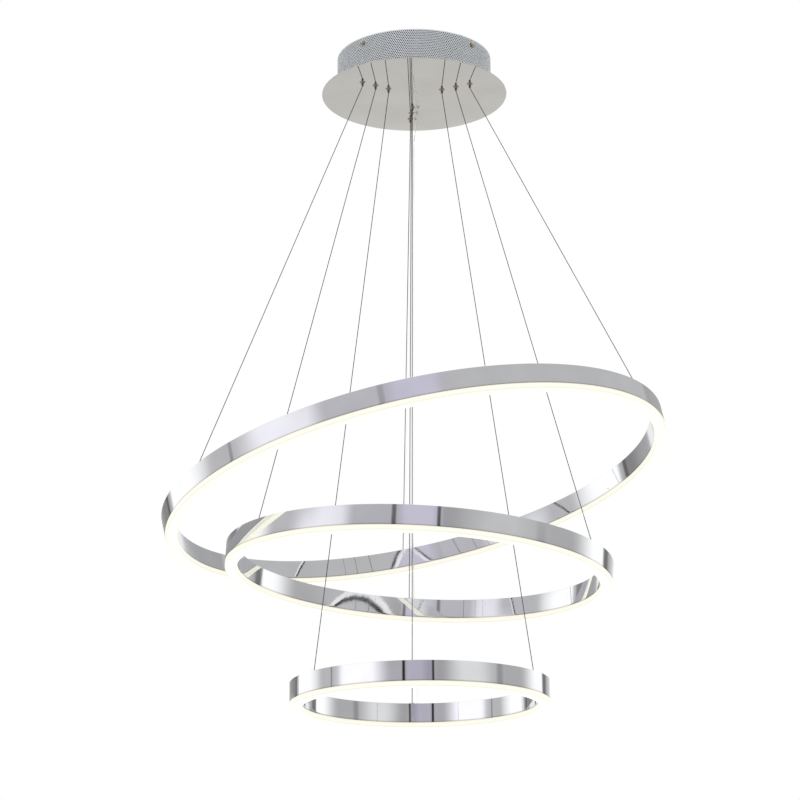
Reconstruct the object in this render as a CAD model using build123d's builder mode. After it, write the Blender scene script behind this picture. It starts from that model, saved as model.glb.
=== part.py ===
from build123d import *
import os
from math import cos, degrees, pi, radians, sin, tan

os.makedirs("parts", exist_ok=True)

# ---------------------------------------------------------------- driving dimensions, mm and degrees
# The origin is on the ceiling, at the centre of the canopy. The light hangs down along -Z.
# The three suspension rows leave the centre 120 degrees apart: far, near left and near right.
rows = {"far": 90, "left": 210, "right": 330}

# Canopy
disc_diameter = 300
disc_thickness = 1.5
drum_diameter = 250
drum_height = 60
drum_thickness = 1.0
drum_flange = 12
ceiling_gap = 0.5
plate_diameter = 244
plate_thickness = 1.5
plate_hole_circle = 170
plate_hole = 5.5
cable_hole = 24
mains_bore = 16
tab_width = 16
tab_height = 16
tab_root = 12
side_screw_drop = 10
side_screw_diameter = 4
driver_length = 76
driver_width = 34
driver_height = 23
driver_radius = 78
driver_angles = {"large": 30, "middle": 150, "small": 270}

# Rings: where the centre of each ring's top face hangs, how far it leans towards its low side,
# and how far it has turned from its rows
rings = {
    "large": dict(
        diameter=800, gripper_radius=100, depth=695, shift=(-7, 10), tilt=12.4, low_side=158, turn=-1.1
    ),
    "middle": dict(
        diameter=600, gripper_radius=75, depth=835, shift=(1.5, 0), tilt=3.6, low_side=0, turn=-0.3
    ),
    "small": dict(
        diameter=400, gripper_radius=50, depth=1035.5, shift=(0, 0.5), tilt=1.7, low_side=264, turn=0
    ),
}
channel_width = 19
channel_height = 30.5
channel_web = 1.6
channel_wall = 1.2
cover_drop = 8
cover_wall = 1.5
cover_corner = 2.5
cover_leg = 12
board_width = 12
board_thickness = 1.6

# Suspension
wire_radius = 0.6
wire_tail = 34
stud_radius = 3.0
cable_radius = 0.9
cable_offset = 9
cable_beside_wire = 2.0
sleeve_radius = 2.0

# ---------------------------------------------------------------- levels and places that follow
drum_top = -ceiling_gap
drum_bottom = drum_top - drum_height
disc_bottom = drum_bottom - disc_thickness
drum_radius = drum_diameter / 2
half_width = channel_width / 2
clearance = 0.05
corner_angles = (45, 135, 225, 315)


def ring_plane(ring):
    """Top face of a ring's channel, with local X kept along the canopy's X."""
    lean = radians(ring["tilt"])
    normal = Vector(sin(lean), 0, cos(lean)).rotate(Axis.Z, ring["low_side"])
    along = Vector(1, 0, 0) - normal * normal.X
    origin = Vector(ring["shift"][0], ring["shift"][1], -ring["depth"])
    return Plane(origin=origin, x_dir=along, z_dir=normal)


def section_plane(ring, angle=0.0):
    """Plane that cuts a ring's section: sketch X runs outwards, sketch Y up the ring's axis."""
    plane = ring_plane(ring)
    outwards = plane.x_dir.rotate(Axis((0, 0, 0), plane.z_dir), angle)
    return Plane(origin=plane.origin, x_dir=outwards, z_dir=outwards.cross(plane.z_dir))


def ring_axis(ring):
    plane = ring_plane(ring)
    return Axis(plane.origin, plane.z_dir)


def middle_radius(ring):
    return ring["diameter"] / 2 - half_width


def gripper_spot(ring, angle, height=0.0):
    """Place on the canopy disc's underside where one wire's gripper stands."""
    return Rot(Z=angle) * Pos(ring["gripper_radius"], 0, disc_bottom + height)


def ring_spot(ring, angle, height=0.0, sideways=0.0):
    """Place on a ring's top face above the middle of its channel."""
    turned_angle = angle + ring["turn"]
    return ring_plane(ring).location * Rot(Z=turned_angle) * Pos(middle_radius(ring), sideways, height)


def turned(profile):
    """A small turned piece on the Z axis, from its half profile of (radius, height) points."""
    with BuildPart() as piece:
        with BuildSketch(Plane.XZ):
            with BuildLine():
                Polyline(*profile, close=True)
            make_face()
        revolve(axis=Axis.Z)
    return piece.part


def save(name, piece, places=(Location(),)):
    """Write one sub-part: a piece, or copies of it at several places."""
    with BuildPart() as node:
        with Locations(*places):
            add(piece)
    node.part.label = name
    export_step(node.part, f"parts/{name}.step")


# ---------------------------------------------------------------- canopy
# Steel plate that is screwed to the ceiling. Four tabs are bent down at its edge for the drum's screws.
tab_outside = drum_radius - drum_thickness - 1.5
side_screw_level = drum_top - side_screw_drop
with BuildPart() as ceiling_plate:
    with BuildSketch():
        Circle(plate_diameter / 2)
        with PolarLocations(tab_outside - tab_root / 2, 4, start_angle=45):
            Rectangle(tab_root, tab_width)
        Circle(cable_hole / 2, mode=Mode.SUBTRACT)
        with PolarLocations(plate_hole_circle / 2, 4):
            Circle(plate_hole / 2, mode=Mode.SUBTRACT)
    extrude(amount=-plate_thickness)
    for angle in corner_angles:
        with BuildSketch(Plane.YZ.rotated((0, 0, angle)).offset(tab_outside)):
            with Locations((0, -tab_height / 2)):
                Rectangle(tab_width, tab_height)
            with Locations((0, side_screw_level)):
                Circle(side_screw_diameter / 2, mode=Mode.SUBTRACT)
        extrude(amount=-plate_thickness)
save("ceiling_plate", ceiling_plate.part)

# Rubber grommet where the mains cable comes down through the plate
mains_grommet = turned(
    [
        (mains_bore / 2, 0),
        (cable_hole / 2 - 0.1, 0),
        (cable_hole / 2 - 0.1, -plate_thickness - 0.1),
        (cable_hole / 2 + 2, -plate_thickness - 0.1),
        (mains_bore / 2, -6),
    ]
)
save("mains_grommet", mains_grommet)

# Perforated band round the canopy, with a flange turned in at its lower edge
with BuildPart() as drum_wall:
    with BuildSketch(Plane.XZ):
        with BuildLine():
            Polyline(
                (drum_radius, drum_top),
                (drum_radius, drum_bottom),
                (drum_radius - drum_flange, drum_bottom),
                (drum_radius - drum_flange, drum_bottom + drum_thickness),
                (drum_radius - drum_thickness, drum_bottom + drum_thickness),
                (drum_radius - drum_thickness, drum_top),
                close=True,
            )
        make_face()
    revolve(axis=Axis.Z)
    for angle in corner_angles:
        with Locations(Rot(Z=angle) * Pos(drum_radius, 0, side_screw_level) * Rot(Y=90)):
            Hole(side_screw_diameter / 2 + 0.2, depth=drum_thickness * 3)
save("drum_wall", drum_wall.part)

# Dome-headed screws with washers, through the drum into the plate's tabs
screw_shank = side_screw_diameter / 2 - clearance
side_screw = turned(
    [
        (0, 3.2),
        (2.8, 2.8),
        (4, 1.6),
        (4, 0.6),
        (5.2, 0.6),
        (5.2, 0),
        (screw_shank, 0),
        (screw_shank, -5),
        (0, -5),
    ]
)
side_screw_places = [
    Rot(Z=angle) * Pos(drum_radius + clearance, 0, side_screw_level) * Rot(Y=90) for angle in corner_angles
]
save("drum_screws", side_screw, side_screw_places)

# Polished disc that carries the grippers
barrel_radius = 3.9
with BuildPart() as canopy_disc:
    with BuildSketch(Plane.XY.offset(disc_bottom)):
        Circle(disc_diameter / 2)
        for ring in rings.values():
            with PolarLocations(ring["gripper_radius"], 3, start_angle=rows["far"]):
                Circle(barrel_radius + clearance, mode=Mode.SUBTRACT)
            with Locations((cable_offset, ring["gripper_radius"])):
                Circle(sleeve_radius + 2 * clearance, mode=Mode.SUBTRACT)
    extrude(amount=disc_thickness)
save("canopy_disc", canopy_disc.part)

# One driver for each ring, flat on the disc between the suspension rows, with a slotted foot at each end
foot_length = 8
for name, angle in driver_angles.items():
    driver_plane = Plane.XY.rotated((0, 0, angle)).offset(drum_bottom)
    with BuildPart() as driver:
        with BuildSketch(driver_plane):
            with Locations((driver_radius, 0)):
                Rectangle(driver_width, driver_length)
        extrude(amount=driver_height)
        chamfer(driver.faces().sort_by(Axis.Z)[-1].edges(), 2)
        with BuildSketch(driver_plane):
            with Locations((driver_radius, 0)):
                Rectangle(driver_width / 2, driver_length + 2 * foot_length)
                with GridLocations(0, driver_length + 2 * foot_length, 1, 2):
                    Rectangle(4.2, foot_length, mode=Mode.SUBTRACT)
        extrude(amount=2)
    save(f"driver_{name}", driver.part)

# Three-way terminal block for the mains wires
block_pitch = 10.5
with BuildPart() as terminal_block:
    with BuildSketch(Plane.XY.offset(drum_bottom)):
        Rectangle(3 * block_pitch + 2, 22)
    extrude(amount=6)
    with BuildSketch(Plane.XY.offset(drum_bottom + 6)):
        with GridLocations(block_pitch, 0, 3, 1):
            Rectangle(block_pitch - 1, 18)
            with GridLocations(0, 10, 1, 2):
                Rectangle(4, 4, mode=Mode.SUBTRACT)
    extrude(amount=10)
save("terminal_block", terminal_block.part)

# ---------------------------------------------------------------- wire grippers
# A spring pushes a split collet down into the barrel's cone, where it bites on the wire.
# Heights are from the disc's underside. Pressing the plunger's tip up frees the wire.
flange_radius = 4.75
flange_thickness = 1.0
collar_radius = 2.7
collar_drop = 2.5
barrel_top = 19
cone_low = 7.5
cone_high = 12.6
cone_slope = 0.1875
seat_gap = 0.06
tip_drop = 6.5
wire_exit_drop = 5.9
head_top = 11.5
plunger_radius = 1.8
guide_radius = plunger_radius + 2 * clearance
collet_radius = 2.0
head_radius = collet_radius + cone_slope * (head_top - cone_low)
chamber_radius = collet_radius + seat_gap + cone_slope * (cone_high - cone_low)
plunger_bore = 0.75
cap_low = 16.5

barrel = turned(
    [
        (guide_radius, -collar_drop),
        (collar_radius, -collar_drop),
        (collar_radius, -flange_thickness),
        (flange_radius, -flange_thickness),
        (flange_radius, -clearance),
        (barrel_radius, -clearance),
        (barrel_radius, barrel_top),
        (chamber_radius, barrel_top),
        (chamber_radius, cone_high),
        (collet_radius + seat_gap, cone_low),
        (guide_radius, cone_low - 0.4),
    ]
)
cap_radius = chamber_radius - clearance
cap = turned([(1, cap_low), (cap_radius, cap_low), (cap_radius, barrel_top), (1, barrel_top)])
spring = turned([(1.5, head_top + 0.1), (2.5, head_top + 0.1), (2.5, cap_low - 0.1), (1.5, cap_low - 0.1)])
tail = turned([(0, -wire_exit_drop), (wire_radius, -wire_exit_drop), (wire_radius, wire_tail), (0, wire_tail)])
with BuildPart() as plunger:
    with BuildSketch(Plane.XZ):
        with BuildLine():
            Polyline(
                (plunger_bore, -tip_drop),
                (plunger_radius - 0.4, -tip_drop),
                (plunger_radius, -tip_drop + 0.6),
                (plunger_radius, cone_low - 0.3),
                (collet_radius, cone_low),
                (head_radius, head_top),
                (plunger_bore, head_top),
                close=True,
            )
        make_face()
    revolve(axis=Axis.Z)
    # three saw cuts turn the head into fingers
    with BuildSketch(Plane.XY.offset(head_top)):
        with PolarLocations(head_radius / 2, 3):
            Rectangle(head_radius + 1, 0.5)
    extrude(amount=cone_low - 2.5 - head_top, mode=Mode.SUBTRACT)
with BuildPart() as lock_nut:
    with BuildSketch(Plane.XY.offset(disc_thickness + clearance)):
        RegularPolygon(5, 6, major_radius=False)
        Circle(barrel_radius + clearance, mode=Mode.SUBTRACT)
    extrude(amount=4)
gripper_places = [gripper_spot(ring, angle) for ring in rings.values() for angle in rows.values()]
save("gripper_barrels", barrel, gripper_places)
save("gripper_caps", cap, gripper_places)
save("gripper_springs", spring, gripper_places)
save("gripper_nuts", lock_nut.part, gripper_places)
save("wire_tails", tail, gripper_places)
for ring_name, ring in rings.items():
    for row, angle in rows.items():
        save(f"{ring_name}_plunger_{row}", plunger.part, [gripper_spot(ring, angle)])

# Clear sleeves where the power cables leave the disc, beside the far grippers
sleeve_drop = 2.5
sleeve_flange = 2.8
cable_room = cable_radius + 0.1
sleeve = turned(
    [
        (cable_room, -sleeve_drop),
        (sleeve_flange, -sleeve_drop),
        (sleeve_flange, -clearance),
        (sleeve_radius, -clearance),
        (sleeve_radius, 4),
        (cable_room, 4),
    ]
)
save(
    "cable_sleeves",
    sleeve,
    [Pos(cable_offset, ring["gripper_radius"], disc_bottom) for ring in rings.values()],
)

# ---------------------------------------------------------------- rings
# Stud in the channel's web: the wire is crimped in the floor of its wide mouth.
stud_rise = 2.0
stud_depth = 6.0
mouth_floor = 0.6
stud = turned(
    [
        (0, mouth_floor),
        (0.8, mouth_floor),
        (2.6, stud_rise),
        (4.6, stud_rise),
        (4.6, clearance),
        (stud_radius, clearance),
        (stud_radius, -stud_depth),
        (0, -stud_depth),
    ]
)
# Sleeve in the web beside the far stud, where the power cable goes in
inlet = turned(
    [
        (cable_room, stud_rise),
        (sleeve_flange, stud_rise),
        (sleeve_flange, clearance),
        (sleeve_radius, clearance),
        (sleeve_radius, -4),
        (cable_room, -4),
    ]
)

for ring_name, ring in rings.items():
    axis = ring_axis(ring)
    mid = middle_radius(ring)
    outside = mid + half_width
    inside = mid - half_width
    stud_places = [ring_spot(ring, angle) for angle in rows.values()]
    inlet_place = ring_spot(ring, rows["far"], sideways=-cable_offset)

    # open channel, made of a web and two walls
    with BuildPart() as channel:
        with BuildSketch(section_plane(ring)):
            with BuildLine():
                Polyline(
                    (inside, 0),
                    (outside, 0),
                    (outside, -channel_height),
                    (outside - channel_wall, -channel_height),
                    (outside - channel_wall, -channel_web),
                    (inside + channel_wall, -channel_web),
                    (inside + channel_wall, -channel_height),
                    (inside, -channel_height),
                    close=True,
                )
            make_face()
        revolve(axis=axis)
        with Locations(*stud_places):
            Hole(stud_radius + clearance, depth=3)
        with Locations(inlet_place):
            Hole(sleeve_radius + clearance, depth=3)
    save(f"{ring_name}_channel", channel.part)

    # opal cover: its shoulders stand under the walls and its legs push in between them
    shoulder = -channel_height - 0.1
    low = -channel_height - cover_drop
    leg_outside = half_width - channel_wall - 0.1
    leg_inside = leg_outside - cover_wall
    with BuildPart() as cover:
        with BuildSketch(section_plane(ring)):
            with BuildLine():
                Polyline(
                    (mid + half_width - cover_corner, low),
                    (mid + half_width, low + cover_corner),
                    (mid + half_width, shoulder),
                    (mid + leg_outside, shoulder),
                    (mid + leg_outside, shoulder + cover_leg),
                    (mid + leg_inside, shoulder + cover_leg),
                    (mid + leg_inside, low + cover_wall),
                    (mid - leg_inside, low + cover_wall),
                    (mid - leg_inside, shoulder + cover_leg),
                    (mid - leg_outside, shoulder + cover_leg),
                    (mid - leg_outside, shoulder),
                    (mid - half_width, shoulder),
                    (mid - half_width, low + cover_corner),
                    (mid - half_width + cover_corner, low),
                    close=True,
                )
            make_face()
        revolve(axis=axis)
    save(f"{ring_name}_diffuser", cover.part)

    # light strip under the web: three curved boards that stop short of the studs
    board_top = -channel_web - 0.1
    gap = degrees(16 / mid)
    with BuildPart() as light_strip:
        for angle in rows.values():
            with BuildSketch(section_plane(ring, angle + ring["turn"] + gap)):
                with Locations((mid, board_top - board_thickness / 2)):
                    Rectangle(board_width, board_thickness)
            revolve(axis=axis, revolution_arc=120 - 2 * gap)
    save(f"{ring_name}_light_strip", light_strip.part)

    save(f"{ring_name}_wire_studs", stud, stud_places)
    save(f"{ring_name}_cable_inlet", inlet, [inlet_place])

# ---------------------------------------------------------------- wires and cables
wire_end_rise = mouth_floor + 0.45
wire_start_drop = wire_exit_drop + 0.35
straight_margin = 52
stub = 14
for ring_name, ring in rings.items():
    for row, angle in rows.items():
        start = gripper_spot(ring, angle, -wire_start_drop).position
        end = ring_spot(ring, angle, wire_end_rise).position
        with BuildPart() as wire:
            with BuildSketch(Plane(origin=start, z_dir=end - start)):
                Circle(wire_radius)
            extrude(amount=(end - start).length)
        save(f"{ring_name}_wire_{row}", wire.part)
        print(f"{ring_name} wire {row}: {(end - start).length:.1f} mm, from {tuple(start)} to {tuple(end)}")

    # The power cable leaves its sleeve, closes up to the far wire and opens out again above the ring.
    wire_top = gripper_spot(ring, rows["far"]).position
    wire_low = ring_spot(ring, rows["far"]).position
    down = (wire_low - wire_top).normalized()
    beside = Vector(cable_beside_wire, 0, 0)
    exit_point = Vector(cable_offset, ring["gripper_radius"], disc_bottom - sleeve_drop - 0.1)
    entry_point = ring_spot(ring, rows["far"], stud_rise + 0.1, -cable_offset).position
    route = [
        exit_point,
        exit_point + Vector(0, 0, -stub),
        wire_top + beside + down * straight_margin,
        wire_low + beside - down * straight_margin,
        entry_point + ring_plane(ring).z_dir * stub,
        entry_point,
    ]
    radii = []
    for before, here, after in zip(route, route[1:], route[2:]):
        turn = (here - before).get_angle(after - here)
        shorter = min((here - before).length, (after - here).length)
        radii.append(0.45 * shorter / tan(radians(turn / 2)))
    with BuildPart() as cable:
        with BuildLine() as cable_line:
            FilletPolyline(*route, radius=radii)
        with BuildSketch(Plane(origin=exit_point, z_dir=(0, 0, -1))):
            Circle(cable_radius)
        sweep()
    save(f"{ring_name}_power_cable", cable.part)
    run = cable_line.wires()[0].length
    share = cable.part.volume / (run * pi * cable_radius**2)
    print(f"{ring_name} cable: {run:.1f} mm, radii {[round(r) for r in radii]}, volume share {share:.3f}")
    print(f"  route {[tuple(round(c, 1) for c in point) for point in route]}")
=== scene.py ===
from math import atan2, cos, degrees, pi, radians, sin, sqrt

import bpy
from mathutils import Matrix, Vector


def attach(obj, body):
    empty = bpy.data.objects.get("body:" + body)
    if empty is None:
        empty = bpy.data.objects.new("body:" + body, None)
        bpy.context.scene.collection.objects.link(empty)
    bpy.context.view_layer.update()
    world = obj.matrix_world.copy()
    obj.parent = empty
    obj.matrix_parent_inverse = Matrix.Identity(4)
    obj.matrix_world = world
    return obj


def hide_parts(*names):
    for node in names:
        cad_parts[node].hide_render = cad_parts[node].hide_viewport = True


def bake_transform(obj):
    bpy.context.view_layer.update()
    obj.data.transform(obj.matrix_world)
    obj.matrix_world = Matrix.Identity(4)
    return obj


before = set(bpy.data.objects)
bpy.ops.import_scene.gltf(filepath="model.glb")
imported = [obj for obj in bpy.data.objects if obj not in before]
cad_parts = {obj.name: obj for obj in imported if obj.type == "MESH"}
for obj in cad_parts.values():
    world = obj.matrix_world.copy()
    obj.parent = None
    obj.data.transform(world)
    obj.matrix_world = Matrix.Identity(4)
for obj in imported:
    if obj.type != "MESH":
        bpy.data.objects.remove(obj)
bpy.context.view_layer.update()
print("frame loaded:", len(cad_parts), "CAD nodes")

# The origin is on the ceiling, at the centre of the canopy. All lengths are in metres.
rows = {"far": 90, "left": 210, "right": 330}  # the three rows of wires, by their bearing in degrees
ringSizes = {  # tilt, the side it leans to and the turn round its own axis are in degrees
    "large": dict(
        radius=0.400, gripperRadius=0.100, depth=0.695, shift=(-0.007, 0.010),
        tilt=12.4, lowSide=158, turn=-1.1,
    ),
    "middle": dict(
        radius=0.300, gripperRadius=0.075, depth=0.835, shift=(0.0015, 0.0),
        tilt=3.6, lowSide=0, turn=-0.3,
    ),
    "small": dict(
        radius=0.200, gripperRadius=0.050, depth=1.0355, shift=(0.0, 0.0005),
        tilt=1.7, lowSide=264, turn=0,
    ),
}
discUnderside = -0.062
halfChannel = 0.0095
edgeAngles = dict(roundedFrom=28, smoothUpTo=32)  # degrees between two faces
drillBit = dict(reach=0.01, sides=32)
tubeDetail = dict(routeSteps=20, rounding=3)


def ringMatrix(ring):  # puts a piece that was made flat and round Z into its ring's tilted place
    lean, lowSide = radians(ring["tilt"]), radians(ring["lowSide"])
    upwards = Vector((sin(lean) * cos(lowSide), sin(lean) * sin(lowSide), cos(lean)))
    along = (Vector((1, 0, 0)) - upwards * upwards.x).normalized()
    turn = Matrix((along, upwards.cross(along), upwards)).transposed().to_4x4()
    return Matrix.Translation((*ring["shift"], -ring["depth"])) @ turn


def flatSpot(ring, angle, outwards, sideways=0.0, height=0.0):  # a place on a ring that isn't hung up yet
    turned = Matrix.Rotation(radians(angle + ring["turn"]), 4, "Z")
    return turned @ Matrix.Translation((outwards, sideways, height))


def ringSpot(ring, angle, height=0.0):  # a place over the middle of the hung ring's top face
    return ringMatrix(ring) @ flatSpot(ring, angle, ring["radius"] - halfChannel, 0, height)


def gripperSpot(ring, angle, height=0.0):  # a place on the disc's underside
    outwards = Matrix.Translation((ring["gripperRadius"], 0, discUnderside + height))
    return Matrix.Rotation(radians(angle), 4, "Z") @ outwards


def startAlone():  # operators act on all that is selected, so nothing is
    if bpy.context.mode != "OBJECT":
        bpy.ops.object.mode_set(mode="OBJECT")
    bpy.ops.object.select_all(action="DESELECT")


def pickOnly(piece):
    startAlone()
    piece.select_set(True)
    bpy.context.view_layer.objects.active = piece


def closeUp(piece, reach=1e-6):  # merges the seam and turns all faces outwards
    pickOnly(piece)
    bpy.ops.object.mode_set(mode="EDIT")
    bpy.ops.mesh.select_all(action="SELECT")
    bpy.ops.mesh.remove_doubles(threshold=reach)
    bpy.ops.mesh.normals_make_consistent(inside=False)
    bpy.ops.object.mode_set(mode="OBJECT")


def turnPiece(name, profile, steps, hollow):  # pulls a circle along a profile of (radius, height) points
    startAlone()
    fill = "NOTHING" if hollow else "NGON"
    bpy.ops.mesh.primitive_circle_add(vertices=steps, radius=profile[0][0], fill_type=fill)
    piece = bpy.context.object
    piece.name = name
    bpy.ops.object.mode_set(mode="EDIT")
    bpy.ops.mesh.select_all(action="SELECT")
    bpy.ops.transform.translate(value=(0, 0, profile[0][1]))
    stops = profile[1:] + profile[:1] if hollow else profile[1:]
    radius, height = profile[0]
    for nextRadius, nextHeight in stops:
        bpy.ops.mesh.extrude_region()
        wider = nextRadius / radius
        bpy.ops.transform.resize(value=(wider, wider, 1), center_override=(0, 0, 0))
        bpy.ops.transform.translate(value=(0, 0, nextHeight - height))
        radius, height = nextRadius, nextHeight
    closeUp(piece)
    return piece


def useModifier(piece, kind, **settings):
    pickOnly(piece)
    modifier = piece.modifiers.new(kind.lower(), kind)
    for setting, value in settings.items():
        setattr(modifier, setting, value)
    bpy.ops.object.modifier_apply(modifier=modifier.name)


def breakEdges(piece, width, segments=2):
    useModifier(
        piece, "BEVEL", width=width, segments=segments,
        limit_method="ANGLE", angle_limit=radians(edgeAngles["roundedFrom"]),
    )


def smoothOver(piece):  # smooth over the rounded edges, and true on the faces between them
    pickOnly(piece)
    bpy.ops.object.shade_smooth_by_angle(angle=radians(edgeAngles["smoothUpTo"]))
    useModifier(piece, "WEIGHTED_NORMAL", weight=100, keep_sharp=True)


def putAt(piece, place):  # moves the mesh, so that the object stays at the origin
    pickOnly(piece)
    piece.matrix_world = place
    bpy.ops.object.transform_apply(location=True, rotation=True, scale=True)


def copiesAt(piece, places, name):  # one joined object of copies, each with its own mesh
    copies = []
    for place in places:
        copy = piece.copy()
        copy.data = piece.data.copy()
        bpy.context.collection.objects.link(copy)
        putAt(copy, place)
        copies.append(copy)
    startAlone()
    for copy in copies:
        copy.select_set(True)
    bpy.context.view_layer.objects.active = copies[0]
    if len(copies) > 1:
        bpy.ops.object.join()
    bpy.data.objects.remove(piece)
    copies[0].name = name
    return copies[0]


def splineCurve(name, kind, points):
    line = bpy.data.curves.new(name, "CURVE")
    line.dimensions = "3D"
    line.resolution_u = tubeDetail["routeSteps"]
    spline = line.splines.new(kind)
    spline.points.add(len(points) - 1)
    for spot, point in zip(spline.points, points):
        spot.co = (*point, 1)
    if kind == "NURBS":
        spline.order_u = 3
        spline.use_endpoint_u = True
    curve = bpy.data.objects.new(name, line)
    bpy.context.collection.objects.link(curve)
    return curve


def tubeAlong(name, points, radius):
    curve = splineCurve(name, "POLY", points)
    curve.data.bevel_depth = radius
    curve.data.bevel_resolution = tubeDetail["rounding"]
    curve.data.use_fill_caps = True
    pickOnly(curve)
    bpy.ops.object.convert(target="MESH")
    tube = bpy.context.object
    closeUp(tube)
    smoothOver(tube)
    return tube


def drillHoles(piece, radius, places):  # cuts round holes along Z of each place
    reach = drillBit["reach"]
    drill = turnPiece("drill", [(radius, -reach), (radius, reach)], drillBit["sides"], False)
    drills = copiesAt(drill, places, "drills")
    useModifier(piece, "BOOLEAN", operation="DIFFERENCE", solver="EXACT", object=drills)
    bpy.data.objects.remove(drills)


def giveFinish(piece, material):
    piece.data.materials.clear()
    piece.data.materials.append(material)


def newFinish(name):
    material = bpy.data.materials.new(name)
    material.use_nodes = True
    nodes = material.node_tree.nodes
    return material, nodes, material.node_tree.links, nodes["Principled BSDF"]


grainRange = (0.3, 0.7)  # nearly all of the noise lies between these


def grainedFinish(name, look):  # metal or plastic with grain in its colour, gloss and surface
    material, nodes, links, surface = newFinish(name)
    surface.inputs["Metallic"].default_value = look.get("metallic", 0.0)
    surface.inputs["IOR"].default_value = look.get("ior", 1.5)
    surface.inputs["Transmission Weight"].default_value = look.get("clear", 0.0)
    place = nodes.new("ShaderNodeTexCoord")
    grain = nodes.new("ShaderNodeTexNoise")
    grain.inputs["Scale"].default_value = look["grain"]
    grain.inputs["Detail"].default_value = look.get("detail", 4.0)
    tint = nodes.new("ShaderNodeValToRGB")
    tint.color_ramp.elements[0].position, tint.color_ramp.elements[1].position = grainRange
    tint.color_ramp.elements[0].color = (*look["dark"], 1)
    tint.color_ramp.elements[1].color = (*look["light"], 1)
    gloss = nodes.new("ShaderNodeMapRange")
    gloss.inputs["From Min"].default_value, gloss.inputs["From Max"].default_value = grainRange
    gloss.inputs["To Min"].default_value, gloss.inputs["To Max"].default_value = look["gloss"]
    bump = nodes.new("ShaderNodeBump")
    bump.inputs["Strength"].default_value = look.get("bumpStrength", 0.3)
    bump.inputs["Distance"].default_value = look["bump"]
    links.new(place.outputs["Object"], grain.inputs["Vector"])
    links.new(grain.outputs["Fac"], tint.inputs["Fac"])
    links.new(grain.outputs["Fac"], gloss.inputs["Value"])
    links.new(grain.outputs["Fac"], bump.inputs["Height"])
    if "paintedShadeLip" in look:  # painted shadow and painted reflection: a warm brown along a lower edge, for the shade of the gap above the cover and the cover's amber light mirrored there, where the vertex attribute read below rises to 1
        paintedShadeShare = nodes.new("ShaderNodeAttribute")
        paintedShadeShare.attribute_name = "paintedShadeShare"
        shade = nodes.new("ShaderNodeMix")
        shade.data_type = "RGBA"
        mixInputs = {(socket.name, socket.type): socket for socket in shade.inputs}
        mixInputs["B", "RGBA"].default_value = (*look["paintedShadeLip"], 1)
        links.new(paintedShadeShare.outputs["Fac"], mixInputs["Factor", "VALUE"])
        links.new(tint.outputs["Color"], mixInputs["A", "RGBA"])
        tint = shade
    colour = [socket for socket in tint.outputs if socket.type == "RGBA"][0]
    links.new(colour, surface.inputs["Base Color"])
    links.new(gloss.outputs["Result"], surface.inputs["Roughness"])
    links.new(bump.outputs["Normal"], surface.inputs["Normal"])
    return material


finishes = {
    # its lower edge is tinted warm brown as a painted shadow and painted reflection
    "chromeChannel": dict(
        metallic=1.0, dark=(0.80, 0.805, 0.825), light=(0.85, 0.855, 0.875), gloss=(0.015, 0.045),
        grain=28, detail=3.0, bump=0.0004, bumpStrength=0.06, paintedShadeLip=(0.55, 0.48, 0.42),
    ),
    "mirrorDisc": dict(
        metallic=1.0, dark=(0.585, 0.565, 0.533), light=(0.635, 0.618, 0.583), gloss=(0.02, 0.05),
        grain=14, detail=3.0, bump=0.0004, bumpStrength=0.03,
    ),
    "perforatedSteel": dict(
        metallic=1.0, dark=(0.74, 0.77, 0.79), light=(0.79, 0.82, 0.84), gloss=(0.32, 0.40),
        grain=90, detail=5.0, bump=0.00002, bumpStrength=0.1,
    ),
    "gripperNickel": dict(
        metallic=1.0, dark=(0.27, 0.24, 0.20), light=(0.58, 0.52, 0.42), gloss=(0.12, 0.22),
        grain=1500, bump=0.00002,
    ),
    "darkNickel": dict(
        metallic=1.0, dark=(0.10, 0.095, 0.085), light=(0.20, 0.19, 0.17), gloss=(0.15, 0.28),
        grain=1500, bump=0.00002,
    ),
    "brightScrew": dict(
        metallic=1.0, dark=(0.66, 0.66, 0.67), light=(0.76, 0.76, 0.77), gloss=(0.12, 0.22),
        grain=1800, bump=0.00002,
    ),
    # partly zinc, partly painted shade: darker than bare zinc, so that the ceiling plate and the nuts inside
    # the drum look dim, as in the shade of a ceiling
    "zincWithPaintedShade": dict(
        metallic=1.0, dark=(0.32, 0.33, 0.35), light=(0.42, 0.43, 0.45), gloss=(0.30, 0.48),
        grain=160, detail=6.0, bump=0.00005,
    ),
    "springSteel": dict(
        metallic=1.0, dark=(0.42, 0.42, 0.44), light=(0.56, 0.56, 0.58), gloss=(0.20, 0.32),
        grain=2600, bump=0.00002,
    ),
    "wireTail": dict(
        metallic=1.0, dark=(0.065, 0.063, 0.058), light=(0.15, 0.146, 0.136), gloss=(0.35, 0.45),
        grain=2600, bump=0.00002,
    ),
    "clearPlastic": dict(
        clear=1.0, ior=1.08, dark=(0.93, 0.93, 0.93), light=(0.98, 0.98, 0.98), gloss=(0.0, 0.03),
        grain=120, bump=0.00001,
    ),
    "ledBoard": dict(
        metallic=0.3, dark=(0.84, 0.85, 0.84), light=(0.92, 0.92, 0.90), gloss=(0.35, 0.50),
        grain=300, bump=0.00003,
    ),
    # painted shade: the driver cases are made near black, so that the inside of the drum, seen through the
    # holes, looks dim
    "driverCaseWithPaintedShade": dict(
        dark=(0.10, 0.10, 0.11), light=(0.14, 0.14, 0.15), gloss=(0.42, 0.58),
        grain=1400, detail=6.0, bump=0.00006,
    ),
    "terminalPlastic": dict(
        dark=(0.78, 0.77, 0.72), light=(0.86, 0.85, 0.80), gloss=(0.35, 0.50),
        grain=1100, bump=0.00004,
    ),
    "grommetRubber": dict(
        dark=(0.022, 0.022, 0.023), light=(0.045, 0.045, 0.047), gloss=(0.55, 0.75),
        grain=1300, bump=0.00005,
    ),
}
finish = {name: grainedFinish(name, look) for name, look in finishes.items()}


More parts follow.
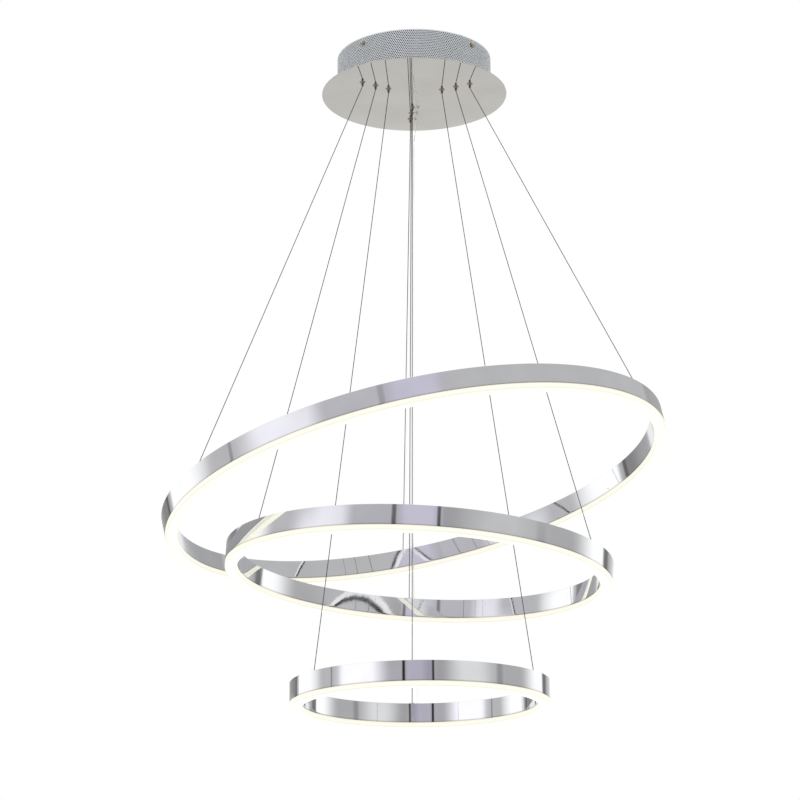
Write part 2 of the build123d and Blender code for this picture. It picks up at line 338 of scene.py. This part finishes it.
def ropeFinish(look):  # strands lie along the wire: its own UV runs round it, then along it
    material, nodes, links, surface = newFinish("wireRope")
    surface.inputs["Metallic"].default_value = 1.0
    surface.inputs["Roughness"].default_value = look["roughness"]
    uv = nodes.new("ShaderNodeUVMap")
    repeat = nodes.new("ShaderNodeMapping")
    repeat.inputs["Scale"].default_value = (look["strands"], 1, 1)
    strand = nodes.new("ShaderNodeTexWave")
    strand.inputs["Scale"].default_value = 1.0
    # painted shade: the grooves between the strands are coloured darker than their crowns
    shade = nodes.new("ShaderNodeValToRGB")
    shade.color_ramp.elements[0].color = (*look["paintedGrooveShade"], 1)
    shade.color_ramp.elements[1].color = (*look["crown"], 1)
    bump = nodes.new("ShaderNodeBump")
    bump.inputs["Distance"].default_value = look["bump"]
    links.new(uv.outputs["UV"], repeat.inputs["Vector"])
    links.new(repeat.outputs["Vector"], strand.inputs["Vector"])
    links.new(strand.outputs["Fac"], shade.inputs["Fac"])
    links.new(shade.outputs["Color"], surface.inputs["Base Color"])
    links.new(strand.outputs["Fac"], bump.inputs["Height"])
    links.new(bump.outputs["Normal"], surface.inputs["Normal"])
    return material


# the darker of the two colours is painted shade in the grooves between the strands
finish["wireRope"] = ropeFinish(
    dict(
        strands=7, roughness=0.4, paintedGrooveShade=(0.065, 0.063, 0.058), crown=(0.15, 0.146, 0.136),
        bump=0.00005,
    )
)


def opalFinish(look):  # milky cover lit from inside: white where edgeShare is 0, creamy where it is 1
    material, nodes, links, surface = newFinish("opalCover")
    surface.inputs["Roughness"].default_value = look["roughness"]
    surface.inputs["Base Color"].default_value = (*look["plastic"], 1)
    surface.inputs["Emission Strength"].default_value = look["strength"]
    across = nodes.new("ShaderNodeAttribute")
    across.attribute_name = "edgeShare"
    place = nodes.new("ShaderNodeTexCoord")
    cloud = nodes.new("ShaderNodeTexNoise")
    cloud.inputs["Scale"].default_value = look["grain"]
    stir = nodes.new("ShaderNodeMath")
    stir.operation = "MULTIPLY_ADD"
    stir.inputs[1].default_value = look["cloud"]
    glow = nodes.new("ShaderNodeValToRGB")
    glow.color_ramp.interpolation = "EASE"
    glow.color_ramp.elements[0].position = look["whiteUpTo"]
    glow.color_ramp.elements[1].position = 1.0
    glow.color_ramp.elements[0].color = (*look["middle"], 1)
    glow.color_ramp.elements[1].color = (*look["edge"], 1)
    bump = nodes.new("ShaderNodeBump")
    bump.inputs["Strength"].default_value = look["bumpStrength"]
    bump.inputs["Distance"].default_value = look["bump"]
    links.new(place.outputs["Object"], cloud.inputs["Vector"])
    links.new(cloud.outputs["Fac"], stir.inputs[0])
    links.new(across.outputs["Fac"], stir.inputs[2])
    links.new(stir.outputs["Value"], glow.inputs["Fac"])
    links.new(cloud.outputs["Fac"], bump.inputs["Height"])
    links.new(glow.outputs["Color"], surface.inputs["Emission Color"])
    links.new(bump.outputs["Normal"], surface.inputs["Normal"])
    return material


finish["opalCover"] = opalFinish(
    dict(
        roughness=0.35, plastic=(0.30, 0.30, 0.29), strength=1.0, grain=240, cloud=0.06,
        whiteUpTo=0.35, middle=(0.84, 0.83, 0.64), edge=(0.61, 0.60, 0.52),
        bump=0.00002, bumpStrength=0.1,
    )
)
print("finishes ready")


# The camera looks up at the rings from in front; its angles are in degrees.
view = dict(
    place=(-0.2937, -4.3890, -1.9453), turn=-3.475, lift=17.2298, roll=-0.4504,
    lens=131.48, sensorWidth=36, farEnd=100,
)
bpy.ops.object.camera_add()
camera = bpy.context.object
camera.name = "viewCamera"
camera.matrix_world = (
    Matrix.Translation(view["place"])
    @ Matrix.Rotation(radians(view["turn"]), 4, "Z")
    @ Matrix.Rotation(radians(90 + view["lift"]), 4, "X")
    @ Matrix.Rotation(radians(view["roll"]), 4, "Z")
)
camera.data.sensor_width = view["sensorWidth"]
camera.data.lens = view["lens"]
camera.data.clip_end = view["farEnd"]
bpy.context.scene.camera = camera
bpy.context.scene.view_settings.view_transform = "Standard"

studio = dict(
    softLight=(0.97, 0.98, 1.0), softStrength=0.92,
    floorHeight=-2.62, floorRadius=13.0, floorSides=96, floorMiddle=6.0,
    floorColour=(0.93, 0.93, 0.93), floorRoughness=0.9, whiteFrom=2.5, whiteBeyond=7.5, floorGlow=0.79,
)


def seenDirectly(nodes, links):  # 1 for camera, glossy and transmission rays
    path = nodes.new("ShaderNodeLightPath")
    first = nodes.new("ShaderNodeMath")
    second = nodes.new("ShaderNodeMath")
    first.operation = second.operation = "MAXIMUM"
    links.new(path.outputs["Is Camera Ray"], first.inputs[0])
    links.new(path.outputs["Is Glossy Ray"], first.inputs[1])
    links.new(first.outputs[0], second.inputs[0])
    links.new(path.outputs["Is Transmission Ray"], second.inputs[1])
    return second.outputs[0]


world = bpy.data.worlds.new("studioWorld")
bpy.context.scene.world = world
world.use_nodes = True
worldNodes, worldLinks = world.node_tree.nodes, world.node_tree.links
softBackground = worldNodes["Background"]
softBackground.inputs["Color"].default_value = (*studio["softLight"], 1)
softBackground.inputs["Strength"].default_value = studio["softStrength"]
whiteBackground = worldNodes.new("ShaderNodeBackground")
whiteBackground.inputs["Color"].default_value = (1, 1, 1, 1)
whiteBackground.inputs["Strength"].default_value = 1.0
worldMix = worldNodes.new("ShaderNodeMixShader")
worldLinks.new(seenDirectly(worldNodes, worldLinks), worldMix.inputs["Fac"])
worldLinks.new(softBackground.outputs[0], worldMix.inputs[1])
worldLinks.new(whiteBackground.outputs[0], worldMix.inputs[2])
worldLinks.new(worldMix.outputs[0], worldNodes["World Output"].inputs["Surface"])


def floorFinish():  # keeps the shadow, fades into the white far away, and mirrors as one even grey
    material, nodes, links, surface = newFinish("studioFloor")
    surface.inputs["Base Color"].default_value = (*studio["floorColour"], 1)
    surface.inputs["Roughness"].default_value = studio["floorRoughness"]
    surface.inputs["Specular IOR Level"].default_value = 0.0
    place = nodes.new("ShaderNodeTexCoord")
    flat = nodes.new("ShaderNodeMapping")
    flat.inputs["Scale"].default_value = (1, 1, 0)
    away = nodes.new("ShaderNodeVectorMath")
    away.operation = "LENGTH"
    fade = nodes.new("ShaderNodeMapRange")
    fade.interpolation_type = "SMOOTHSTEP"
    fade.inputs["From Min"].default_value = studio["whiteFrom"]
    fade.inputs["From Max"].default_value = studio["whiteBeyond"]
    white = nodes.new("ShaderNodeEmission")
    white.inputs["Strength"].default_value = 1.0
    grey = nodes.new("ShaderNodeEmission")
    grey.inputs["Strength"].default_value = studio["floorGlow"]
    nearFar = nodes.new("ShaderNodeMixShader")
    mirrored = nodes.new("ShaderNodeMixShader")
    path = nodes.new("ShaderNodeLightPath")
    links.new(place.outputs["Object"], flat.inputs["Vector"])
    links.new(flat.outputs["Vector"], away.inputs[0])
    links.new(away.outputs["Value"], fade.inputs["Value"])
    links.new(fade.outputs["Result"], nearFar.inputs["Fac"])
    links.new(surface.outputs["BSDF"], nearFar.inputs[1])
    links.new(white.outputs[0], nearFar.inputs[2])
    links.new(path.outputs["Is Glossy Ray"], mirrored.inputs["Fac"])
    links.new(nearFar.outputs[0], mirrored.inputs[1])
    links.new(grey.outputs[0], mirrored.inputs[2])
    links.new(mirrored.outputs[0], nodes["Material Output"].inputs["Surface"])
    return material


startAlone()
bpy.ops.mesh.primitive_circle_add(
    vertices=studio["floorSides"], radius=studio["floorRadius"], fill_type="NGON"
)
floor = bpy.context.object
floor.name = "studioFloor"
bpy.ops.object.mode_set(mode="EDIT")
bpy.ops.mesh.select_all(action="SELECT")
bpy.ops.mesh.inset(thickness=studio["floorRadius"] - studio["floorMiddle"])
bpy.ops.object.mode_set(mode="OBJECT")
putAt(floor, Matrix.Translation((0, 0, studio["floorHeight"])))
giveFinish(floor, floorFinish())

# What the polished metal mirrors: a round grey wall close by, with soft panels and thin posts on it.
# Bearings are in degrees: 0 is the camera's side, and plus is to its right. Heights are in metres.
surroundings = dict(
    radius=1.8, columns=720, upper=0.555, lower=0.475, change=(-0.55, -0.25), greenLoss=0.25,
    rows=[
        -1.95, -1.30, -0.83, -0.79, -0.75, -0.71, -0.66, -0.60, -0.54, -0.48, -0.42,
        -0.36, -0.30, -0.24, -0.18, -0.12, -0.06, 0.0, 0.08, 0.18, 0.35, 0.69,
    ],
)
panels = dict(  # starts, full from, full to, ends; top and how far down from it the panel fades in; glow
    backUpper=(123, 127, 200, 225, 0.70, 0.10, 0.43),
    backRight=(130, 150, 170, 200, 0.00, 0.20, 0.62),
    backWhite=(140, 162, 197, 214, -0.38, 0.15, 1.15),
    backStrip=(165, 177, 184, 190, 0.00, 0.20, 0.95),
    leftGrey=(-172, -162, -137, -134, 0.70, 0.10, 0.41),
    leftDark=(-160, -143, -137, -134, 0.00, 0.30, 0.27),
    leftPost=(-139.5, -138.5, -136.5, -135.5, -0.30, 0.10, 0.15),
    leftWhite=(-133.5, -129, -112, -86, -0.12, 0.10, 1.20),
    leftSide=(-100, -90, -79, -72, 0.70, 0.10, 0.56),
    softBoxHigh=(-66, -56, -48, -38, 0.05, 0.10, 0.90),
    softBoxMiddle=(-82, -66, -57, -39, -0.25, 0.10, 1.04),
    softBoxLow=(-77, -68, -47, -26, -0.60, 0.10, 1.20),
    leftLine=(-84, -83, -82.3, -81.5, -0.42, 0.10, 0.30),
    nearPost=(-18.6, -17.6, -16.2, -15.2, 0.20, 0.90, 0.03),
    cameraSide=(-15, -10, 3, 8, 0.70, 0.10, 0.64),
    cameraLow=(-15, -11, 8, 9, -0.60, 0.10, 0.52),
    cameraDark=(-4, 4, 8, 9, -0.60, 0.10, 0.40),
    rightPost=(5.6, 6.4, 7.4, 8.2, 0.00, 0.60, 0.05),
    rightGrey=(8, 10, 12, 24, -0.30, 0.10, 0.41),
    rightMiddle=(16, 38, 46, 75, -0.35, 0.15, 0.62),
    rightGlow=(14, 36, 43, 61, -0.60, 0.10, 0.84),
    rightLine=(61, 65, 67, 71, -0.45, 0.20, 0.34),
    rightWhite=(88, 114, 123.5, 127.5, 0.05, 0.20, 1.20),
    farPost=(125.5, 129, 132, 138, -0.20, 0.30, 0.20),
    backFloor=(140, 148, 212, 220, -0.73, 0.03, studio["floorGlow"]),
)
lilacTints = dict(  # starts, full from, full to, ends; how strong
    leftOfCamera=(-100, -60, 0, 20, 0.05),
    roundCamera=(-16, -12, 5, 8, 0.08),
)


def smoothShare(value, start, full):
    share = min(1.0, max(0.0, (value - start) / (full - start)))
    return share * share * (3 - 2 * share)


def bandShare(bearing, start, fullFrom, fullTo, end):
    return smoothShare(bearing, start, fullFrom) * smoothShare(-bearing, -end, -fullTo)


def wallGlow(bearing, height):
    high = smoothShare(height, *surroundings["change"])
    glow = surroundings["lower"] + (surroundings["upper"] - surroundings["lower"]) * high
    for *band, top, fade, panelGlow in panels.values():
        pastBack = band[-1] > 180 and bearing < 0  # the panel goes on round the back
        share = bandShare(bearing + 360 if pastBack else bearing, *band)
        share *= smoothShare(-height, -top, fade - top)
        glow += (panelGlow - glow) * share
    return glow


startAlone()
bpy.ops.mesh.primitive_circle_add(
    vertices=surroundings["columns"], radius=surroundings["radius"], fill_type="NOTHING"
)
wall = bpy.context.object
wall.name = "studioWall"
bpy.ops.object.mode_set(mode="EDIT")
bpy.ops.mesh.select_all(action="SELECT")
bpy.ops.transform.translate(value=(0, 0, surroundings["rows"][0]))
for below, above in zip(surroundings["rows"], surroundings["rows"][1:]):
    bpy.ops.mesh.extrude_region()
    bpy.ops.transform.translate(value=(0, 0, above - below))
bpy.ops.object.mode_set(mode="OBJECT")
glows = wall.data.attributes.new("glow", "FLOAT_COLOR", "POINT")
for vertex in wall.data.vertices:
    bearing = degrees(atan2(vertex.co.x, -vertex.co.y))
    glow = wallGlow(bearing, vertex.co.z)
    lilac = sum(strength * bandShare(bearing, *band) for *band, strength in lilacTints.values())
    green, blue = 1 - surroundings["greenLoss"] * lilac, 1 + lilac
    glows.data[vertex.index].color = (glow, glow * green, glow * blue, 1)

wallMaterial, wallNodes, wallLinks, wallSurface = newFinish("studioWall")
wallNodes.remove(wallSurface)
panelGlows = wallNodes.new("ShaderNodeAttribute")
panelGlows.attribute_name = "glow"
wallLight = wallNodes.new("ShaderNodeEmission")
wallLinks.new(panelGlows.outputs["Color"], wallLight.inputs["Color"])
wallLinks.new(wallLight.outputs[0], wallNodes["Material Output"].inputs["Surface"])
giveFinish(wall, wallMaterial)
wall.visible_camera = wall.visible_diffuse = wall.visible_transmission = False
wall.visible_volume_scatter = wall.visible_shadow = False

lamps = dict(
    keyLamp=dict(place=(-2.6, -3.2, 2.4), target=(0, 0, -0.6), size=2.2, power=26),
    fillLamp=dict(place=(3.0, -2.2, 0.6), target=(0, 0, -0.6), size=2.4, power=12),
)
for lampName, look in lamps.items():
    bpy.ops.object.light_add(type="AREA", location=look["place"])
    lamp = bpy.context.object
    lamp.name = lampName
    lamp.data.shape = "SQUARE"
    lamp.data.size = look["size"]
    lamp.data.energy = look["power"]
    aim = Vector(look["target"]) - Vector(look["place"])
    lamp.rotation_euler = aim.to_track_quat("-Z", "Y").to_euler()
    lamp.visible_glossy = lamp.visible_camera = lamp.visible_transmission = False
print("stage ready")


# Canopy: a mirror disc under a perforated drum
disc = dict(
    radius=0.150, steps=256, thickness=0.0015, edge=0.00025, edgeSteps=3,
    gripperHole=0.00395, sleeveHole=0.0021, sleeveOffset=0.009,
)
discTop = discUnderside + disc["thickness"]
discProfile = [(disc["radius"], discUnderside), (disc["radius"], discTop)]
mirrorDisc = turnPiece("mirrorDisc", discProfile, disc["steps"], False)
breakEdges(mirrorDisc, disc["edge"], disc["edgeSteps"])
gripperPlaces = [
    gripperSpot(ring, angle)
    for ring in ringSizes.values()
    for angle in rows.values()
]
sleevePlaces = [
    Matrix.Translation((disc["sleeveOffset"], ring["gripperRadius"], discUnderside))
    for ring in ringSizes.values()
]
drillHoles(mirrorDisc, disc["gripperHole"], gripperPlaces)
drillHoles(mirrorDisc, disc["sleeveHole"], sleevePlaces)
smoothOver(mirrorDisc)
giveFinish(mirrorDisc, finish["mirrorDisc"])
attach(mirrorDisc, "canopy")
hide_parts("canopy_disc")

drum = dict(
    radius=0.1245, top=-0.0005, bottom=-0.060, thickness=0.001, flange=0.0115,
    across=240, pairs=10, hole=0.00125, rimReach=0.6, cellWeld=2e-5, seamWeld=3e-5,
)
pitch = 2 * pi * drum["radius"] / drum["across"]
cellRadius = pitch / sqrt(3)
rowStep = 1.5 * cellRadius
startAlone()  # one six-sided cell, which leaves a smaller hole open
bpy.ops.mesh.primitive_circle_add(
    vertices=6, radius=cellRadius, fill_type="NOTHING", rotation=(radians(90), 0, 0)
)
cell = bpy.context.object
bpy.ops.object.transform_apply(location=True, rotation=True, scale=True)
bpy.ops.object.mode_set(mode="EDIT")
bpy.ops.mesh.select_all(action="SELECT")
bpy.ops.mesh.extrude_region()
holeShare = drum["hole"] / cellRadius
bpy.ops.transform.resize(value=(holeShare, holeShare, holeShare), center_override=(0, 0, 0))
bpy.ops.object.mode_set(mode="OBJECT")
sheet = copiesAt(cell, [Matrix.Identity(4), Matrix.Translation((pitch / 2, 0, rowStep))], "perforatedDrum")
useModifier(
    sheet, "ARRAY", count=drum["across"], use_relative_offset=False, use_constant_offset=True,
    constant_offset_displace=(pitch, 0, 0),
)
useModifier(
    sheet, "ARRAY", count=drum["pairs"], use_relative_offset=False, use_constant_offset=True,
    constant_offset_displace=(0, 0, 2 * rowStep),
)
latticeHeight = (2 * drum["pairs"] - 1) * rowStep
putAt(sheet, Matrix.Translation((0, 0, (drum["top"] + drum["bottom"] - latticeHeight) / 2)))
closeUp(sheet, drum["cellWeld"])


def pickBorder(piece, isWanted):  # selects the sheet's open edges whose ends both pass the test
    pickOnly(piece)
    bpy.ops.object.mode_set(mode="EDIT")
    bpy.ops.mesh.select_mode(type="EDGE")
    bpy.ops.mesh.select_all(action="DESELECT")
    bpy.ops.object.mode_set(mode="OBJECT")
    uses = {}
    for polygon in piece.data.polygons:
        for key in polygon.edge_keys:
            uses[key] = uses.get(key, 0) + 1
    for edge in piece.data.edges:
        ends = [piece.data.vertices[i].co for i in edge.vertices]
        edge.select = uses.get(edge.key, 0) == 1 and all(isWanted(end) for end in ends)
    bpy.ops.object.mode_set(mode="EDIT")


rimReach = drum["rimReach"] * cellRadius
lowEdge = min(v.co.z for v in sheet.data.vertices) + rimReach
highEdge = max(v.co.z for v in sheet.data.vertices) - rimReach
rims = ((lambda p: p.z > highEdge, drum["top"]), (lambda p: p.z < lowEdge, drum["bottom"]))
for isWanted, rimHeight in rims:
    pickBorder(sheet, isWanted)  # the zigzag edge is drawn out to a straight rim
    bpy.ops.mesh.extrude_region()
    bpy.ops.transform.resize(value=(1, 1, 0), center_override=(0, 0, rimHeight))
    bpy.ops.object.mode_set(mode="OBJECT")
sheetWidth = max(v.co.x for v in sheet.data.vertices) - min(v.co.x for v in sheet.data.vertices)
useModifier(sheet, "SIMPLE_DEFORM", deform_method="BEND", deform_axis="Z", angle=sheetWidth / drum["radius"])
putAt(sheet, Matrix.Translation((0, -drum["radius"], 0)))
closeUp(sheet, drum["seamWeld"])
pickBorder(sheet, lambda p: p.z < drum["bottom"] + drum["seamWeld"])
bpy.ops.mesh.extrude_region()
inwards = 1 - drum["flange"] / drum["radius"]
bpy.ops.transform.resize(value=(inwards, inwards, 1), center_override=(0, 0, 0))
bpy.ops.object.mode_set(mode="OBJECT")
useModifier(sheet, "SOLIDIFY", thickness=drum["thickness"], offset=0, use_even_offset=True)
smoothOver(sheet)
giveFinish(sheet, finish["perforatedSteel"])
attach(sheet, "canopy")
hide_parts("drum_wall")
print("canopy ready")


# Wire grippers: barrels with rounded edges, in which the plungers slide
barrel = dict(
    steps=36, edge=0.00025,
    profile=[  # (radius, height from the disc's underside)
        (0.0019, -0.0025), (0.0027, -0.0025), (0.0027, -0.001), (0.00475, -0.001), (0.00475, -0.00005),
        (0.0039, -0.00005), (0.0039, 0.019), (0.00302, 0.019), (0.00302, 0.0126), (0.00206, 0.0075),
        (0.0019, 0.0071),
    ],
)
gripperBarrel = turnPiece("gripperBarrel", barrel["profile"], barrel["steps"], True)
breakEdges(gripperBarrel, barrel["edge"])
gripperBarrels = copiesAt(gripperBarrel, gripperPlaces, "gripperBarrels")
smoothOver(gripperBarrels)
giveFinish(gripperBarrels, finish["gripperNickel"])
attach(gripperBarrels, "canopy")
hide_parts("gripper_barrels")

# The springs inside them
spring = dict(turns=6, flatTurns=0.5, steps=20, radius=0.002, wireRadius=0.00015, low=0.0116, top=0.0164)
springRoom = spring["top"] - spring["low"] - 2 * spring["wireRadius"]
coil = []
for step in range(spring["turns"] * spring["steps"] + 1):
    turned = step / spring["steps"]
    climb = (turned - spring["flatTurns"]) / (spring["turns"] - 2 * spring["flatTurns"])
    height = spring["low"] + spring["wireRadius"] + min(1.0, max(0.0, climb)) * springRoom
    coil.append((spring["radius"] * cos(2 * pi * turned), spring["radius"] * sin(2 * pi * turned), height))
for ringName, ring in ringSizes.items():
    for row, angle in rows.items():
        coilSpring = tubeAlong(ringName + "Spring" + row.capitalize(), coil, spring["wireRadius"])
        putAt(coilSpring, gripperSpot(ring, angle))
        giveFinish(coilSpring, finish["springSteel"])
        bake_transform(coilSpring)
        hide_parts("gripper_springs")
print("grippers ready")


# Rings: chrome channels, their opal covers, and small screws low on their inner walls
# the chrome's lowest 2.6 mm is tinted warm brown by its finish, as a painted shadow and painted reflection
channel = dict(
    steps=360, height=0.0305, web=0.0016, wall=0.0012, edge=0.00025, paintedShadeLip=0.0026,
    studHole=0.00305, inletHole=0.00205,
)
cover = dict(
    shoulder=-0.0306, low=-0.0385, corner=0.0025, cornerAngles=(0, 22, 45, 68, 90),
    legOutside=0.0082, legInside=0.0067, legTop=-0.0186, floor=-0.037,
    creamDepth=0.0016, sideFrom=0.95, sideShare=0.7, creamFrom=0.72, creamRise=0.1,
)
wallScrew = dict(
    steps=16, height=-0.0255, profile=[(0.0013, -0.0002), (0.0013, 0.0003), (0.0007, 0.0006)],
    angles={"large": (30, 90, 210, 330), "middle": (90, 210, 330), "small": (90, 210, 330)},
)


def coverOutline(middle):  # (radius, height) points, round the cover's section
    corner = []
    for angle in cover["cornerAngles"]:
        outwards = halfChannel - cover["corner"] * (1 - sin(radians(angle)))
        corner.append((outwards, cover["low"] + cover["corner"] * (1 - cos(radians(angle)))))
    outer = corner + [
        (halfChannel, cover["shoulder"] - cover["creamDepth"]), (halfChannel, cover["shoulder"]),
        (cover["legOutside"], cover["shoulder"]), (cover["legOutside"], cover["legTop"]),
        (cover["legInside"], cover["legTop"]), (cover["legInside"], cover["floor"]),
    ]
    inner = [(-x, z) for x, z in reversed(outer)]
    return [(middle + x, z) for x, z in outer + inner]


for ringName, ring in ringSizes.items():
    outside, inside = ring["radius"], ring["radius"] - 2 * halfChannel
    middle = ring["radius"] - halfChannel
    body = ringName + "_ring"
    wallIn, wallOut = inside + channel["wall"], outside - channel["wall"]
    # top of the chrome's lowest band, which carries the painted shadow and painted reflection; the profile
    # gets a loop there
    paintedShadeTop = channel["paintedShadeLip"] - channel["height"]
    chrome = turnPiece(
        ringName + "ChromeChannel",
        [
            (inside, 0), (outside, 0), (outside, paintedShadeTop), (outside, -channel["height"]),
            (wallOut, -channel["height"]), (wallOut, -channel["web"]), (wallIn, -channel["web"]),
            (wallIn, -channel["height"]), (inside, -channel["height"]), (inside, paintedShadeTop),
        ],
        channel["steps"],
        True,
    )
    breakEdges(chrome, channel["edge"])
    studSpots = [flatSpot(ring, angle, middle) for angle in rows.values()]
    inletSpot = flatSpot(ring, rows["far"], middle, -disc["sleeveOffset"])
    drillHoles(chrome, channel["studHole"], studSpots)
    drillHoles(chrome, channel["inletHole"], [inletSpot])
    # painted shadow and painted reflection: 0 above the lowest band, rising to 1 at the chrome's lower edge,
    # where the finish turns warm brown
    paintedShadeShare = chrome.data.attributes.new("paintedShadeShare", "FLOAT", "POINT")
    paintedShadeEnd = channel["height"] - channel["edge"]
    for vertex in chrome.data.vertices:
        paintedShadeShare.data[vertex.index].value = smoothShare(-vertex.co.z, -paintedShadeTop, paintedShadeEnd)
    putAt(chrome, ringMatrix(ring))
    smoothOver(chrome)
    giveFinish(chrome, finish["chromeChannel"])
    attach(chrome, body)
    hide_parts(ringName + "_channel")

    opal = turnPiece(ringName + "OpalCover", coverOutline(middle), channel["steps"], True)
    edgeShare = opal.data.attributes.new("edgeShare", "FLOAT", "POINT")
    for vertex in opal.data.vertices:  # 1 at the shoulders and corners, a little less on the sides
        across = abs(vertex.co.xy.length - middle) / halfChannel
        share = min(1.0, max(0.0, (across - cover["creamFrom"]) / cover["creamRise"]))
        if vertex.co.z > cover["shoulder"] - cover["creamDepth"] / 2:
            share = 1.0
        elif across > cover["sideFrom"]:
            share = cover["sideShare"]
        edgeShare.data[vertex.index].value = share
    putAt(opal, ringMatrix(ring))
    smoothOver(opal)
    giveFinish(opal, finish["opalCover"])
    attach(opal, body)
    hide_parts(ringName + "_diffuser")

    screw = turnPiece("wallScrew", wallScrew["profile"], wallScrew["steps"], False)
    faceInwards = Matrix.Rotation(radians(-90), 4, "Y")
    screwSpots = [
        ringMatrix(ring) @ flatSpot(ring, angle, inside, 0, wallScrew["height"]) @ faceInwards
        for angle in wallScrew["angles"][ringName]
    ]
    screws = copiesAt(screw, screwSpots, ringName + "WallScrews")
    smoothOver(screws)
    giveFinish(screws, finish["brightScrew"])
    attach(screws, body)
print("rings ready")


# Suspension: a taut wire has mesh points only at its ends, so that it stays straight at every height
wire = dict(radius=0.0006, sides=12, startHeight=-0.0066, endHeight=0.00105)
for ringName, ring in ringSizes.items():
    for row, angle in rows.items():
        start = gripperSpot(ring, angle, wire["startHeight"]).translation
        end = ringSpot(ring, angle, wire["endHeight"]).translation
        startAlone()
        bpy.ops.mesh.primitive_cylinder_add(
            vertices=wire["sides"], radius=wire["radius"], depth=(end - start).length, end_fill_type="NGON"
        )
        rope = bpy.context.object
        rope.name = ringName + "Wire" + row.capitalize()
        aim = (start - end).to_track_quat("Z", "Y").to_matrix().to_4x4()
        putAt(rope, Matrix.Translation((start + end) / 2) @ aim)
        smoothOver(rope)
        giveFinish(rope, finish["wireRope"])
        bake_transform(rope)
        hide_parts(f"{ringName}_wire_{row}")

# Clear power cables, one beside each far wire: the length of each, and the points that steer it
cable = dict(radius=0.0009)
cableRoutes = {
    "large": (0.7264, [
        (0.0090, 0.1000, -0.0646), (0.0090, 0.1000, -0.0786), (0.0020, 0.1214, -0.1094),
        (0.0023, 0.3779, -0.6782), (0.0060, 0.4005, -0.7080), (0.0087, 0.3994, -0.7217),
    ]),
    "middle": (0.8009, [
        (0.0090, 0.0750, -0.0646), (0.0090, 0.0750, -0.0786), (0.0022, 0.0890, -0.1121),
        (0.0048, 0.2765, -0.7850), (0.0130, 0.2904, -0.8196), (0.0121, 0.2904, -0.8336),
    ]),
    "small": (0.9747, [
        (0.0090, 0.0500, -0.0646), (0.0090, 0.0500, -0.0786), (0.0020, 0.0575, -0.1135),
        (0.0020, 0.1834, -0.9784), (0.0090, 0.1904, -1.0138), (0.0090, 0.1909, -1.0278),
    ]),
}
for ringName, (length, route) in cableRoutes.items():
    corners = [Vector(point) for point in route]
    run = (corners[3] - corners[2]).normalized()
    nearTop = corners[2] + run * (corners[2] - corners[1]).length  # evens out the bend
    nearRing = corners[3] - run * (corners[4] - corners[3]).length
    routeCurve = splineCurve("cableRoute", "NURBS", corners[:3] + [nearTop, nearRing] + corners[3:])
    bpy.context.view_layer.update()
    routeMesh = bpy.data.meshes.new_from_object(routeCurve)
    points = [vertex.co.copy() for vertex in routeMesh.vertices]
    bpy.data.objects.remove(routeCurve)
    bpy.data.meshes.remove(routeMesh)
    bendEnd = (corners[2] + nearTop) / 2
    bendStart = (nearRing + corners[3]) / 2
    onRun = [p for p in points if (p - bendEnd).dot(run) > 0 and (p - bendStart).dot(run) < 0]
    path = [p for p in points if p not in onRun[1:-1]]  # the straight run keeps only its two ends
    tube = tubeAlong(ringName + "PowerCable", path, cable["radius"])
    giveFinish(tube, finish["clearPlastic"])
    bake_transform(tube)
    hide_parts(ringName + "_power_cable")
print("suspension ready")


# Finishes of the pieces that keep their own shape
carriedOver = {
    # zinc darkened as painted shade
    "zincWithPaintedShade": ["ceiling_plate", "gripper_nuts"],
    "gripperNickel": ["gripper_caps", "drum_screws"],
    "darkNickel": [f"{ring}_plunger_{row}" for ring in ringSizes for row in rows],
    "wireTail": ["wire_tails"],
    "brightScrew": [ring + "_wire_studs" for ring in ringSizes],
    "grommetRubber": ["mains_grommet"],
    "terminalPlastic": ["terminal_block"],
    # near black, as painted shade
    "driverCaseWithPaintedShade": ["driver_large", "driver_middle", "driver_small"],
    "ledBoard": [ring + "_light_strip" for ring in ringSizes],
    "clearPlastic": ["cable_sleeves"] + [ring + "_cable_inlet" for ring in ringSizes],
}
for finishName, nodeNames in carriedOver.items():
    for nodeName in nodeNames:
        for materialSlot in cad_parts[nodeName].material_slots:
            materialSlot.material = finish[finishName]
print("carried-over pieces finished")
